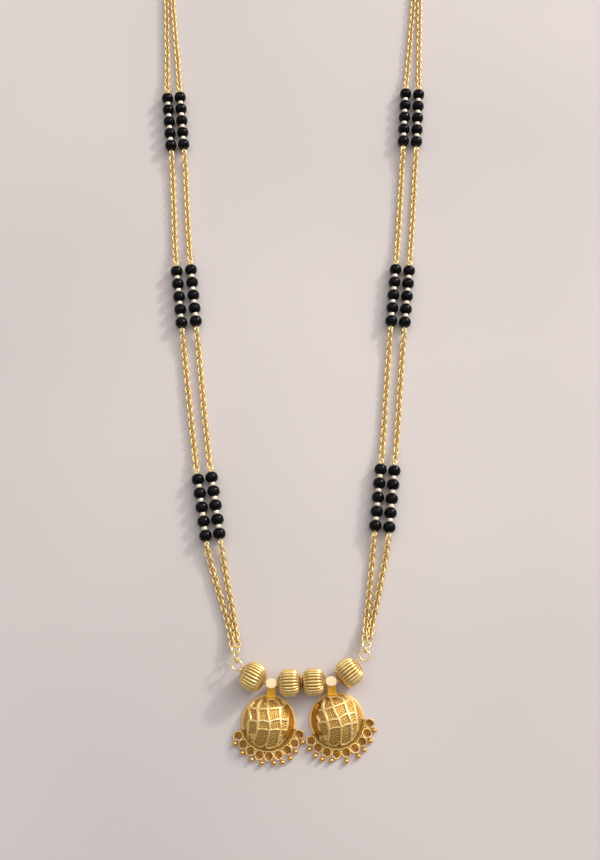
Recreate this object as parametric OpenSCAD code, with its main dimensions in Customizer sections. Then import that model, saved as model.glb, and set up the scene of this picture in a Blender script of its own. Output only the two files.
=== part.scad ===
// Long necklace laid flat: two thin chain strands with groups of faceted black beads,
// four fluted beads on a stiff wire at the front, and two cup pendants with a fringe.
// X is to the right, Y runs from the pendants to the clasp at the back of the neck, Z is up.
// The floor is at Z 0 and the origin is below the middle of the whole loop.

/* [Chain] */
// Width of one chain strand
chain_d = 1.5; // [1.2:0.1:1.8]
// Space between the two strands behind the neck
strand_gap = 0.25; // [0.15:0.05:0.6]
// Space between the end of a chain and the ring or eye that it hangs on
link_gap = 0.15; // [0.1:0.05:0.3]

/* [Black beads] */
// Width of a black bead
bead_d = 3.2; // [2.8:0.1:3.5]
// Length of a black bead along its wire
bead_l = 2.6; // [2.2:0.1:3]
// Hole through a black bead
bead_bore = 0.9; // [0.75:0.05:1.1]
// Black beads on each strand of a group
beads_per_string = 5; // [3:1:6]
// Width of a small gold spacer
spacer_d = 1.45; // [1.2:0.05:2]
// Length of a small gold spacer
spacer_l = 0.85; // [0.6:0.05:1.2]
// Hole through a small gold spacer
spacer_bore = 0.75; // [0.7:0.05:0.9]
// Space between neighbours on a wire
bead_gap = 0.1; // [0.1:0.05:0.2]
// Space between a bail and the fluted bead beside it
bail_gap = 0.15; // [0.15:0.05:0.3]
// Thickness of the wire through the black beads
string_wire_d = 0.45; // [0.3:0.05:0.5]
// Outer width of the eye at each end of that wire
eye_d = 1.4; // [1.2:0.1:1.8]

/* [Fluted beads] */
// Width of the two fluted beads in the middle
melon_d = 6.6; // [6:0.1:6.9]
// Length of the two fluted beads in the middle
melon_l = 5.7; // [5.2:0.1:6]
// Width of the fluted bead at each end of the wire
end_melon_d = 6.9; // [6.6:0.1:7.2]
// Length of the fluted bead at each end of the wire
end_melon_l = 6.1; // [5.7:0.1:6.4]
// Number of flutes round a fluted bead
melon_flutes = 24; // [16:1:28]
// Depth of the grooves between the flutes
flute_depth = 0.35; // [0.1:0.05:0.5]
// Hole through a fluted bead
melon_bore = 0.9; // [0.8:0.05:1.2]

/* [Centre wire] */
// Thickness of the stiff wire at the front
wire_d = 0.45; // [0.35:0.05:0.5]
// Outer width of the loop at each end of that wire
wire_loop_d = 2.9; // [2.7:0.1:3.2]
// Outer width of the ring that joins the left loop to the chain
left_ring_d = 3.4; // [3.2:0.1:3.8]
// Outer width of the ring that joins the right loop to the chain
right_ring_d = 2.1; // [2:0.1:2.4]
// Outer width of the rings that gather the two strands
gather_ring_d = 2.3; // [2.1:0.1:2.6]
// Thickness of the wire of these rings
ring_wire_d = 0.4; // [0.3:0.05:0.4]

/* [Cup pendants] */
// Width of a cup over its ribs
vati_d = 13; // [12:0.1:13.4]
// Height of a cup
vati_h = 5; // [4.2:0.1:5.6]
// Thickness of a cup's wall below the ribs
vati_wall = 0.5; // [0.4:0.05:0.8]
// Height of the raised ribs
rib_h = 0.25; // [0.15:0.05:0.4]
// Width of the raised ribs
rib_w = 0.5; // [0.3:0.05:0.7]
// Thickness of the round bead along a cup's rim
rim_wire_d = 0.5; // [0.4:0.05:0.7]
// Distance from the bail's hole to the middle of the cup
vati_reach = 9; // [8.8:0.1:9.4]

/* [Bails] */
// Length of a bail along the wire
bail_l = 2.6; // [2.2:0.1:2.8]
// Width of a bail at its middle
bail_d = 2.6; // [2.4:0.1:3]
// Width of a bail at its ends
bail_end_d = 1.5; // [1.3:0.1:1.9]
// Hole through a bail
bail_bore = 1; // [0.9:0.05:1.1]
// Height of the polished flat above the hole's middle
bail_flat_h = 0.6; // [0.55:0.05:0.9]
// Width of the neck between bail and cup
neck_w = 1.9; // [1.6:0.1:2.3]
// Thickness of the neck
neck_t = 1.1; // [0.8:0.1:1.4]
// Width of the raised edges of the neck
neck_edge_w = 0.35; // [0.25:0.05:0.5]
// Depth of the channel between these edges
neck_channel = 0.2; // [0.1:0.05:0.4]
// Thickness of the round collar at the foot of the neck
collar_d = 0.7; // [0.4:0.1:0.9]

/* [Fringe] */
// Number of wire loops below a cup
fringe_loops = 9; // [5:1:10]
// Outer width of a wire loop
fringe_loop_d = 2.3; // [2:0.05:2.3]
// Thickness of a loop's wire
fringe_wire_d = 0.33; // [0.25:0.01:0.36]
// Width of the strip that carries the loops
fringe_strip_w = 0.45; // [0.4:0.05:0.8]
// Thickness of that strip
fringe_strip_t = 0.35; // [0.3:0.05:0.5]
// Width of a small gold ball
ball_d = 1.2; // [0.9:0.05:1.25]
// Outer width of the eye on a ball
ball_eye_d = 1.14; // [1.1:0.02:1.16]
// Thickness of that eye's wire
ball_eye_wire_d = 0.22; // [0.16:0.02:0.22]

/* [Clasp] */
// Thickness of the hook's wire
hook_wire_d = 0.8; // [0.6:0.05:0.9]
// Outer width of each bend of the hook
hook_bend_d = 3.4; // [3.3:0.1:4]
// Outer width of the ring on each end of the chain
end_ring_d = 2.9; // [2.8:0.1:3.4]
// Thickness of that ring's wire
end_ring_wire_d = 0.5; // [0.4:0.05:0.5]

/* [Hidden] */
$fn = 72;

// Middles of the bead groups from the front to the back of the neck,
// columns: x, y, turn to the left of +Y, gap between the two strings
GX = 0;
GY = 1;
GTURN = 2;
GGAP = 3;
left_groups = [
    [-21, -82.9, 8.8, 0.3],
    [-28.1, -26.3, 6.5, 0.6],
    [-32.4, 25.4, 5.3, 0.3]
];
right_groups = [
    [23.4, -80.8, -6.2, 0.3],
    [28.5, -26.2, -5.7, 0.4],
    [32.7, 26.5, -3.9, 0.4]
];

// Route of the pair of strands behind the neck, from the last bead group to the clasp,
// as x away from the middle and y
neck_route = [
    [35.3, 64.7],
    [36.5, 86],
    [37, 107],
    [35.2, 118.2],
    [29.9, 128.4],
    [21.7, 136.5],
    [11.4, 142]
];
clasp_y = 144;

// The stiff wire: middle of its straight part, and the turn of that part from +X
wire_mid = [2.3, -126.3];
wire_turn = 2;

// Its two ends, columns: side along X, turn of the end from X, room between bail and bend,
// distance and sideways step from the end bead to the loop, turn and drop of the chain's pull,
// roll of the joining ring from lying flat
ESIDE = 0;
ETURN = 1;
EROOM = 2;
EREACH = 3;
ESTEP = 4;
EPULL = 5;
EDROP = 6;
EROLL = 7;
left_end = [-1, 29, 0.22, 1.65, 0.5, 7, 24, 76];
right_end = [1, 38, 0.37, 2.4, 0.75, -10, 22, 84];

// Cups, columns: side, lean of the cup about the bail, turn of the neck, turn of the lattice
VSIDE = 0;
VLEAN = 1;
VNECK = 2;
VTURN = 3;
left_cup = [-1, -4.3, 0, 1];
right_cup = [1, 8.5, 3, 16];

// Directions in which the small balls lie, clockwise from the foot of the picture
left_ball_turns = [20, 5, -10, -20, -40, -30, -22, -8, -24];
right_ball_turns = [12, 20, 36, 40, -2, -25, -12, -22, -36];

// Heights of the cross ribs on a cup, as shares of its radius from the middle to the bail
cross_ribs = [-0.29, 0.03, 0.49];
// Angle between neighbouring long ribs
rib_step = 24;

// Sections of a fluted bead, as shares of half its length and of its radius,
// with the share of the flutes' full depth
melon_sections = [
    [-1, 0.28, 0.1],
    [-0.85, 0.6, 0.6],
    [-0.47, 0.91, 1],
    [0, 1, 1],
    [0.47, 0.91, 1],
    [0.85, 0.6, 0.6],
    [1, 0.28, 0.1]
];
flute_steps = 4;
// Roundness of a ridge, 1 for a plain sine wave and less for a broader back
ridge_round = 0.7;

// Sections of a black bead, as shares of half its length and of its radius
black_sections = [
    [-1, 0.52],
    [-0.4, 0.97],
    [0.4, 0.97],
    [1, 0.52]
];
black_sides = 10;

// Sides of the round tube that holds the place of a chain
chain_sides = 8;

string_l = beads_per_string * bead_l + (beads_per_string - 1) * (spacer_l + 2 * bead_gap);
string_pitch = bead_l + spacer_l + 2 * bead_gap;
eye_at = string_l / 2 + bead_gap + eye_d / 2;
string_z = bead_d / 2;
// Height of a chain's end beside a bead string
chain_end_z = (string_z + chain_d / 2) / 2;
// Part of a chain's length that leads its curve straight out of its ends
ease = 0.9;

wire_z = end_melon_d / 2;
loop_mid_r = (wire_loop_d - wire_d) / 2;
gather_mid_r = (gather_ring_d - ring_wire_d) / 2;
// Room between the last bead or bail and the bend of the wire
end_room = 0.3;
// Round knee at a bend of the wire
bend_ball_d = 1.3 * wire_d;

bail_at = bead_gap / 2 + melon_l + bail_gap + bail_l / 2;
bail_rise = (bail_d - bail_end_d) / 2;
bail_arc_r = (pow(bail_l / 2, 2) + pow(bail_rise, 2)) / (2 * bail_rise);

vati_r = vati_d / 2;
dome_r = (pow(vati_r, 2) + pow(vati_h, 2)) / (2 * vati_h);
dome_z = vati_h - dome_r;
skin_r = dome_r - rib_h;
hollow_r = skin_r - vati_wall;
// How deep one soldered piece reaches into the next
solder = 0.15;
// The neck meets the cup at this share of the cup's radius and of the dome's
neck_foot_out = 0.8;
neck_foot_up = 0.68;
// Share of the neck's length from its foot up to the collar
collar_share = 0.3;
strip_r = vati_r + fringe_strip_w;
loop_r = (fringe_loop_d - fringe_wire_d) / 2;
loop_at = strip_r - solder + fringe_loop_d / 2;
loop_clear = 0.04;
loop_step = 2 * asin((fringe_loop_d + loop_clear) / (2 * loop_at));
// Degrees by which the strip runs on past its last loops
strip_past = 7;
strip_half = (fringe_loops - 1) / 2 * loop_step + strip_past;
fringe_z = ball_d / 2;
// How far above the floor the round bead on the rim starts
rim_lift = 0.05;
// The ball hangs a little outside the middle of its loop's wire
eye_slack = 0.06;
ball_eye_r = (ball_eye_d - ball_eye_wire_d) / 2;
ball_at = eye_slack + ball_eye_r + ball_d / 2 - solder;

hook_r = (hook_bend_d - hook_wire_d) / 2;
end_ring_r = (end_ring_d - end_ring_wire_d) / 2;
hook_tip_d = 1.4 * hook_wire_d;
hook_turn = 290;
clasp_roll = 45;
clasp_z = hook_r * sin(clasp_roll) + hook_tip_d / 2;
// Middle of the end ring, which hangs in the hook with link_gap to spare
end_ring_at = 2 * hook_r - hook_wire_d / 2 - link_gap - end_ring_wire_d / 2 + end_ring_r;

// Plane vectors
function turned(a, v) = [v[0] * cos(a) - v[1] * sin(a), v[0] * sin(a) + v[1] * cos(a)];
function flat(v) = [v[0], v[1]];
function lifted(v, z) = [v[0], v[1], z];

// Unit vector that starts along +Y, turns to the left and drops
function heading(turn, drop) = [-sin(turn) * cos(drop), cos(turn) * cos(drop), -sin(drop)];

// Point along a curve that leaves p0 along d0 and reaches p1 along d1
function eased(p0, d0, p1, d1, s) =
    let (reach = norm(p1 - p0) * ease)
    (2 * pow(s, 3) - 3 * pow(s, 2) + 1) * p0
    + (pow(s, 3) - 2 * pow(s, 2) + s) * reach * d0
    + (3 * pow(s, 2) - 2 * pow(s, 3)) * p1
    + (pow(s, 3) - pow(s, 2)) * reach * d1;

// Faces of a closed skin over rings of points
function skin_faces(rings, sides) = concat(
    [[for (j = [0 : sides - 1]) j]],
    [for (i = [0 : rings - 2], j = [0 : sides - 1])
        [i * sides + j, (i + 1) * sides + j,
         (i + 1) * sides + (j + 1) % sides, i * sides + (j + 1) % sides]],
    [[for (j = [sides - 1 : -1 : 0]) (rings - 1) * sides + j]]
);

// The same where every second ring is turned by half a side
function facet_faces(rings, sides) = concat(
    [[for (j = [0 : sides - 1]) j]],
    [for (i = [0 : rings - 2], j = [0 : sides - 1], half = [0, 1])
        let (a = i * sides + j, b = i * sides + (j + 1) % sides,
             c = (i + 1) * sides + (j + 1) % sides, d = (i + 1) * sides + j)
        i % 2 == 0 ? (half == 0 ? [a, d, b] : [b, d, c])
                   : (half == 0 ? [a, d, c] : [a, c, b])],
    [[for (j = [sides - 1 : -1 : 0]) (rings - 1) * sides + j]]
);

// Round tube through a list of points
module tube(points, d) {
    count = len(points);
    rings = [for (i = [0 : count - 1])
        let (ahead = points[min(i + 1, count - 1)] - points[max(i - 1, 0)],
             along = ahead / norm(ahead),
             side = [-along[1], along[0], 0] / norm(flat(along)),
             up = cross(along, side))
        for (j = [0 : chain_sides - 1])
            points[i] + d / 2 * (cos(360 * j / chain_sides) * side
                                 + sin(360 * j / chain_sides) * up)];
    polyhedron(rings, skin_faces(count, chain_sides));
}

// Wire ring that is turned, tipped down and then rolled about its own length
module wire_ring(middle, outer_d, wire, turn = 0, drop = 0, roll = 0) {
    translate(middle)
        rotate([0, 0, turn])
            rotate([-drop, 0, 0])
                rotate([0, roll, 0])
                    rotate_extrude()
                        translate([(outer_d - wire) / 2, 0])
                            circle(d = wire);
}

// Straight round wire between two points of one height
module wire_run(from, to, z, d) {
    step = to - from;
    translate([from[0], from[1], z])
        rotate([0, 0, atan2(step[1], step[0])])
            rotate([0, 90, 0])
                cylinder(d = d, h = norm(step));
}

// Place of a bead string, strand -1 is the one to the left
function string_middle(group, strand) =
    [group[GX], group[GY]]
    + turned(group[GTURN], [strand * (bead_d + group[GGAP]) / 2, 0]);
function eye_middle(group, strand, end) =
    string_middle(group, strand) + turned(group[GTURN], [0, end * eye_at]);
function chain_start(group, strand, end) =
    string_middle(group, strand)
    + turned(group[GTURN], [0, end * (eye_at + eye_d / 2 + link_gap)]);

// Puts a string's parts on the string, with Y along it
module on_string(group, strand) {
    translate(lifted(string_middle(group, strand), string_z))
        rotate([0, 0, group[GTURN]])
            children();
}

module black_bead() {
    step = 360 / black_sides;
    points = [for (i = [0 : len(black_sections) - 1], j = [0 : black_sides - 1])
        let (r = black_sections[i][1] * bead_d / 2,
             a = step * (j + (i % 2) / 2))
        [r * cos(a), r * sin(a), black_sections[i][0] * bead_l / 2]];
    rotate([-90, 0, 0])
        difference() {
            polyhedron(points, facet_faces(len(black_sections), black_sides));
            cylinder(d = bead_bore, h = 2 * bead_l, center = true);
        }
}

module black_beads(group) {
    color("black")
        for (strand = [-1, 1])
            on_string(group, strand)
                for (k = [0 : beads_per_string - 1])
                    translate([0, (k - (beads_per_string - 1) / 2) * string_pitch, 0])
                        black_bead();
}

module gold_spacers(group) {
    color("lightgoldenrodyellow")
        for (strand = [-1, 1])
            on_string(group, strand)
                for (k = [0 : beads_per_string - 2])
                    translate([0, (k - (beads_per_string - 2) / 2) * string_pitch, 0])
                        rotate([90, 0, 0])
                            difference() {
                                cylinder(d = spacer_d, h = spacer_l, center = true);
                                cylinder(d = spacer_bore, h = 2 * spacer_l, center = true);
                            }
}

module string_wires(group) {
    color("gold")
        for (strand = [-1, 1])
            on_string(group, strand) {
                rotate([90, 0, 0])
                    cylinder(d = string_wire_d, h = 2 * eye_at - eye_d + string_wire_d,
                             center = true);
                for (end = [-1, 1])
                    wire_ring([0, end * eye_at, 0], eye_d, string_wire_d);
            }
}

// Chain between two bead groups of one strand
module chain_between(low, high, strand) {
    start = chain_start(low, strand, 1);
    finish = chain_start(high, strand, -1);
    middle = eased(start, turned(low[GTURN], [0, 1]),
                   finish, turned(high[GTURN], [0, 1]), 0.5);
    tube([lifted(start, chain_end_z), lifted(middle, chain_d / 2),
          lifted(finish, chain_end_z)], chain_d);
}

// Chain from a gather ring to the first bead group
module chain_below(wire_end, group, strand) {
    base = gather_far(wire_end);
    pull = wire_end[EPULL];
    sideways = turned(pull, [strand * (chain_d + strand_gap) / 2, 0]);
    start = flat(base) + sideways + turned(pull, [0, ring_wire_d / 2 + 2 * link_gap]);
    finish = chain_start(group, strand, -1);
    path = [for (s = [1, 2]) eased(start, turned(pull, [0, 1]),
                                   finish, turned(group[GTURN], [0, 1]), s / 3)];
    tube([lifted(start, max(base[2], chain_d / 2)), lifted(path[0], chain_d / 2),
          lifted(path[1], chain_d / 2), lifted(finish, chain_end_z)], chain_d);
}

module strand_chain(wire_end, groups, strand) {
    color("goldenrod") {
        chain_below(wire_end, groups[0], strand);
        for (i = [0 : len(groups) - 2])
            chain_between(groups[i], groups[i + 1], strand);
    }
}

// Chain from the last bead group round the back of the neck to the clasp
module neck_chain(group, side, strand) {
    path = [for (p = neck_route) [side * p[0], p[1]]];
    finish = [side * (end_ring_at + end_ring_d / 2 + 3 * link_gap), clasp_y];
    whole = concat([[group[GX], group[GY]]], path, [finish]);
    last = len(whole) - 1;
    step_aside = strand * (chain_d + strand_gap) / 2;
    beside = [for (i = [1 : last])
        let (ahead = i == last ? [-side, 0] : whole[i + 1] - whole[i - 1],
             along = ahead / norm(ahead))
        whole[i] + step_aside * [along[1], -along[0]]];
    start = chain_start(group, strand, 1);
    tube(concat([lifted(start, chain_end_z)],
                [for (i = [0 : len(beside) - 2]) lifted(beside[i], chain_d / 2)],
                [lifted(beside[len(beside) - 1], clasp_z)]), chain_d);
}

// Places along the stiff wire
function on_wire(t) = wire_mid + turned(wire_turn, [t, 0]);
function end_turn(wire_end) =
    wire_end[ESIDE] < 0 ? 180 - wire_end[ETURN] : wire_end[ETURN];
function bend_at(wire_end) =
    on_wire(wire_end[ESIDE] * (bail_at + bail_l / 2 + wire_end[EROOM]));
function past_bend(wire_end, t) = bend_at(wire_end) + turned(end_turn(wire_end), [t, 0]);
function end_bead_at(wire_end) = past_bend(wire_end, end_room + end_melon_l / 2);
function loop_middle(wire_end) =
    past_bend(wire_end, end_room + end_melon_l + wire_end[EREACH])
    + turned(end_turn(wire_end), [0, wire_end[ESIDE] * wire_end[ESTEP]]);
// Half the width of the loop where the wire crosses it
function loop_half(wire_end) = sqrt(pow(loop_mid_r, 2) - pow(wire_end[ESTEP], 2));

// Rings between a loop of the wire and the chain
function ring_outer_d(wire_end) = wire_end[ESIDE] < 0 ? left_ring_d : right_ring_d;
function ring_mid_r(wire_end) = (ring_outer_d(wire_end) - ring_wire_d) / 2;
function pull_of(wire_end) = heading(wire_end[EPULL], wire_end[EDROP]);
function loop_far(wire_end) =
    lifted(loop_middle(wire_end), wire_z)
    + loop_mid_r * heading(wire_end[EPULL], 0);
// A ring hangs from the wire that passes through it, with a little slack
function hang(wire) = ring_wire_d / 2 + wire / 2 + link_gap;
function joining_middle(wire_end) =
    loop_far(wire_end) + (ring_mid_r(wire_end) - hang(wire_d)) * pull_of(wire_end);
function joining_far(wire_end) =
    joining_middle(wire_end) + ring_mid_r(wire_end) * pull_of(wire_end);
function gather_middle(wire_end) =
    joining_far(wire_end) + (gather_mid_r - hang(ring_wire_d)) * pull_of(wire_end);
function gather_far(wire_end) =
    gather_middle(wire_end) + gather_mid_r * pull_of(wire_end);

module joining_ring(wire_end) {
    color("goldenrod")
        wire_ring(joining_middle(wire_end), ring_outer_d(wire_end), ring_wire_d,
                  wire_end[EPULL], wire_end[EDROP], wire_end[EROLL]);
}

module gather_ring(wire_end) {
    color("goldenrod")
        wire_ring(gather_middle(wire_end), gather_ring_d, ring_wire_d,
                  wire_end[EPULL], wire_end[EDROP]);
}

module centre_wire() {
    color("gold") {
        wire_run(bend_at(left_end), bend_at(right_end), wire_z, wire_d);
        for (wire_end = [left_end, right_end]) {
            wire_run(bend_at(wire_end),
                     past_bend(wire_end, end_room + end_melon_l + wire_end[EREACH]
                                         - loop_half(wire_end)),
                     wire_z, wire_d);
            translate(lifted(bend_at(wire_end), wire_z))
                sphere(d = bend_ball_d);
            wire_ring(lifted(loop_middle(wire_end), wire_z), wire_loop_d, wire_d,
                      end_turn(wire_end));
        }
    }
}

module fluted_bead(middle, turn, d, l) {
    sides = melon_flutes * flute_steps;
    points = [for (i = [0 : len(melon_sections) - 1], j = [0 : sides - 1])
        let (wave = abs(sin(180 * j / flute_steps)),
             cut = flute_depth * melon_sections[i][2] * (1 - pow(wave, ridge_round)),
             r = melon_sections[i][1] * d / 2 - cut,
             a = 360 * j / sides)
        [r * cos(a), r * sin(a), melon_sections[i][0] * l / 2]];
    color("gold")
        translate(lifted(middle, wire_z))
            rotate([0, 0, turn])
                rotate([0, 90, 0])
                    rotate([0, 0, 180 / melon_flutes])
                        difference() {
                            polyhedron(points, skin_faces(len(melon_sections), sides));
                            cylinder(d = melon_bore, h = 2 * l, center = true);
                        }
}

// Bail with its hole along X and a polished flat on top
module bail() {
    translate([0, 0, wire_z])
        difference() {
            rotate([0, 90, 0])
                rotate_extrude()
                    intersection() {
                        translate([bail_d / 2 - bail_arc_r, 0])
                            circle(r = bail_arc_r);
                        translate([bail_bore / 2, -bail_l / 2])
                            square([bail_d, bail_l]);
                    }
            translate([-bail_l, -bail_d, bail_flat_h])
                cube([2 * bail_l, 2 * bail_d, bail_d]);
        }
}

// Neck from the bail down to the cup, with a channel between raised edges
module neck() {
    top = [-bail_d / 2 + 2 * solder, wire_z + solder];
    foot = [-vati_reach + neck_foot_out * vati_r, dome_z + neck_foot_up * dome_r];
    side = [top, foot, foot - [0, neck_t], top - [0, neck_t]];
    collar = foot + collar_share * (top - foot);
    module strip(profile, w) {
        rotate([90, 0, 90])
            linear_extrude(w, center = true)
                polygon(profile);
    }
    difference() {
        strip(side, neck_w);
        difference() {
            strip([for (p = side) p + [0, neck_t - neck_channel]],
                  neck_w - 2 * neck_edge_w);
            translate([-neck_w, -bail_d, wire_z])
                cube([2 * neck_w, bail_d, bail_d]);
        }
    }
    translate([0, collar[0], collar[1] - collar_d / 4])
        rotate([0, 90, 0])
            cylinder(d = collar_d, h = neck_w + collar_d / 2, center = true);
}

// Outer form of the cup, with a round bead along its rim
module dome() {
    rotate_extrude() {
        intersection() {
            translate([0, dome_z])
                circle(r = skin_r);
            square([dome_r, vati_h]);
        }
        translate([vati_r - rim_wire_d / 2, rim_wire_d / 2 + rim_lift])
            circle(d = rim_wire_d);
    }
}

// Raised lattice: long ribs that meet at the neck and at the foot, and cross ribs
module lattice() {
    intersection() {
        translate([0, 0, dome_z])
            difference() {
                sphere(r = dome_r);
                sphere(r = skin_r - solder);
            }
        union() {
            for (i = [-3 : 3])
                translate([0, 0, dome_z])
                    rotate([0, i * rib_step, 0])
                        translate([-rib_w / 2, -vati_d, 0])
                            cube([rib_w, 2 * vati_d, 2 * dome_r]);
            for (share = cross_ribs)
                translate([-vati_d, share * vati_r - rib_w / 2, 0])
                    cube([2 * vati_d, rib_w, dome_r]);
        }
        translate([-vati_d, -vati_d, rim_wire_d / 2])
            cube([2 * vati_d, 2 * vati_d, dome_r]);
    }
}

// Place of a loop of the fringe, counted from the left
function loop_turn(i) = (i - (fringe_loops - 1) / 2) * -loop_step;
function loop_place(i, turn) = loop_at * [-sin(loop_turn(i) - turn), -cos(loop_turn(i) - turn)];

module fringe() {
    rotate([0, 0, -90 - strip_half])
        translate([0, 0, fringe_z - fringe_strip_t / 2])
            rotate_extrude(angle = 2 * strip_half)
                translate([vati_r - rim_wire_d, 0])
                    square([fringe_strip_w + rim_wire_d, fringe_strip_t]);
    for (i = [0 : fringe_loops - 1])
        wire_ring(lifted(loop_place(i, 0), fringe_z), fringe_loop_d, fringe_wire_d);
}

function bail_place(cup) = on_wire(cup[VSIDE] * bail_at);
function cup_place(cup) = bail_place(cup) + turned(cup[VLEAN], [0, -vati_reach]);

module vati(cup) {
    color("gold") {
        difference() {
            union() {
                translate(cup_place(cup))
                    rotate([0, 0, cup[VTURN]]) {
                        dome();
                        lattice();
                        fringe();
                    }
                translate(bail_place(cup))
                    rotate([0, 0, cup[VNECK]])
                        neck();
            }
            translate(lifted(cup_place(cup), dome_z))
                sphere(r = hollow_r);
            translate(lifted(bail_place(cup), wire_z))
                rotate([0, 0, cup[VNECK]])
                    rotate([0, 90, 0])
                        cylinder(d = bail_bore, h = 2 * bail_l, center = true);
        }
        translate(bail_place(cup))
            rotate([0, 0, cup[VNECK]])
                bail();
    }
}

module drops(cup, ball_turns) {
    color("gold")
        for (i = [0 : fringe_loops - 1]) {
            way = ball_turns[i % len(ball_turns)];
            middle = cup_place(cup) + loop_place(i, cup[VTURN]);
            translate(lifted(middle, fringe_z))
                rotate([0, 0, 180 - way]) {
                    wire_ring([0, loop_r + eye_slack, 0], ball_eye_d, ball_eye_wire_d,
                              roll = 90);
                    translate([0, loop_r + ball_at, 0])
                        sphere(d = ball_d);
                }
        }
}

module end_ring(side) {
    color("gold")
        wire_ring([side * end_ring_at, clasp_y, clasp_z], end_ring_d, end_ring_wire_d,
                  90, 0, clasp_roll);
}

// Hook in the shape of an S, rolled across the end rings
module clasp() {
    color("gold")
        translate([0, clasp_y, clasp_z])
            rotate([clasp_roll, 0, 0])
                for (flip = [0, 180])
                    rotate([0, 0, flip])
                        translate([-hook_r, 0, 0]) {
                            rotate_extrude(angle = hook_turn)
                                translate([hook_r, 0])
                                    circle(d = hook_wire_d);
                            rotate([0, 0, hook_turn])
                                translate([hook_r, 0, 0])
                                    sphere(d = hook_tip_d);
                        }
}

fluted_bead(end_bead_at(left_end), end_turn(left_end), end_melon_d, end_melon_l);  // fluted_bead_1
fluted_bead(on_wire(-(melon_l + bead_gap) / 2), wire_turn, melon_d, melon_l);  // fluted_bead_2
fluted_bead(on_wire((melon_l + bead_gap) / 2), wire_turn, melon_d, melon_l);  // fluted_bead_3
fluted_bead(end_bead_at(right_end), end_turn(right_end), end_melon_d, end_melon_l);  // fluted_bead_4
centre_wire();
vati(left_cup);  // vati_left
vati(right_cup);  // vati_right
drops(left_cup, left_ball_turns);  // drops_left
drops(right_cup, right_ball_turns);  // drops_right
joining_ring(left_end);  // joining_ring_left
joining_ring(right_end);  // joining_ring_right
gather_ring(left_end);  // gather_ring_left
gather_ring(right_end);  // gather_ring_right
black_beads(left_groups[0]);  // black_beads_left_1
black_beads(left_groups[1]);  // black_beads_left_2
black_beads(left_groups[2]);  // black_beads_left_3
black_beads(right_groups[0]);  // black_beads_right_1
black_beads(right_groups[1]);  // black_beads_right_2
black_beads(right_groups[2]);  // black_beads_right_3
gold_spacers(left_groups[0]);  // gold_spacers_left_1
gold_spacers(left_groups[1]);  // gold_spacers_left_2
gold_spacers(left_groups[2]);  // gold_spacers_left_3
gold_spacers(right_groups[0]);  // gold_spacers_right_1
gold_spacers(right_groups[1]);  // gold_spacers_right_2
gold_spacers(right_groups[2]);  // gold_spacers_right_3
string_wires(left_groups[0]);  // string_wires_left_1
string_wires(left_groups[1]);  // string_wires_left_2
string_wires(left_groups[2]);  // string_wires_left_3
string_wires(right_groups[0]);  // string_wires_right_1
string_wires(right_groups[1]);  // string_wires_right_2
string_wires(right_groups[2]);  // string_wires_right_3
strand_chain(left_end, left_groups, -1);  // chain_left_outer
strand_chain(left_end, left_groups, 1);  // chain_left_inner
strand_chain(right_end, right_groups, -1);  // chain_right_inner
strand_chain(right_end, right_groups, 1);  // chain_right_outer
neck_chain(left_groups[2], -1, -1);  // neck_chain_left_outer
neck_chain(left_groups[2], -1, 1);  // neck_chain_left_inner
neck_chain(right_groups[2], 1, -1);  // neck_chain_right_inner
neck_chain(right_groups[2], 1, 1);  // neck_chain_right_outer
end_ring(-1);  // end_ring_left
end_ring(1);  // end_ring_right
clasp();
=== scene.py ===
import math

import bpy
import numpy as np
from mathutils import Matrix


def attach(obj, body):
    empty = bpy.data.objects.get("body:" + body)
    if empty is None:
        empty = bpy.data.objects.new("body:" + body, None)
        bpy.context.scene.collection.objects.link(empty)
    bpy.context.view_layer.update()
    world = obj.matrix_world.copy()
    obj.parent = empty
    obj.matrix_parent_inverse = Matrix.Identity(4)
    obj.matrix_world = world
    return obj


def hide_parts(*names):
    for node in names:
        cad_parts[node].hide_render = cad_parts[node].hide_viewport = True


MM = 0.001
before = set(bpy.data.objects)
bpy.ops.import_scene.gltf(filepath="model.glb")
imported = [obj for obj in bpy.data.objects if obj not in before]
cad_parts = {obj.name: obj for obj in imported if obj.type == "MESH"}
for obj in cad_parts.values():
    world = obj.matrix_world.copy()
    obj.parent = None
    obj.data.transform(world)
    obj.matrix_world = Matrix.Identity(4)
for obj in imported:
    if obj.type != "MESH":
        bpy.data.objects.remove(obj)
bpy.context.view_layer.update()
rng = np.random.default_rng(7)

# Camera at the photograph's angle, above the floor that the necklace lies on
CAMERA_AT, CAMERA_TILT = (0.002, -0.140, 0.285), 15.2
camera = bpy.data.objects.new("camera", bpy.data.cameras.new("camera"))
camera.location = CAMERA_AT
camera.rotation_euler = (math.radians(CAMERA_TILT), 0, 0)
camera.data.lens = 48
camera.data.sensor_width = 36
camera.data.clip_start = 0.01
bpy.context.scene.collection.objects.link(camera)
bpy.context.scene.camera = camera
bpy.context.scene.view_settings.view_transform = "Standard"


# Mesh tools. Lengths are in millimetres and turns in degrees.

def unit(v):
    """Vectors of length 1"""
    return v / np.maximum(np.linalg.norm(v, axis=-1, keepdims=True), 1e-12)


def flat(v, z):
    """Point in plan, put at a height"""
    return np.array([v[0], v[1], z])


def turned(degrees, v):
    """Vector in plan, turned"""
    a = math.radians(degrees)
    return np.array([v[0] * math.cos(a) - v[1] * math.sin(a),
                     v[0] * math.sin(a) + v[1] * math.cos(a)])


def about(axis, degrees):
    """Rotation matrix about the axis 0, 1 or 2"""
    a = math.radians(degrees)
    c, s = math.cos(a), math.sin(a)
    m = np.eye(3)
    i, j = [(1, 2), (2, 0), (0, 1)][axis]
    m[i, i] = m[j, j] = c
    m[i, j], m[j, i] = -s, s
    return m


def smooth_step(t):
    """Soft step from 0 to 1 while t goes from 0 to 1"""
    t = np.clip(t, 0, 1)
    return t * t * (3 - 2 * t)


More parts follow.
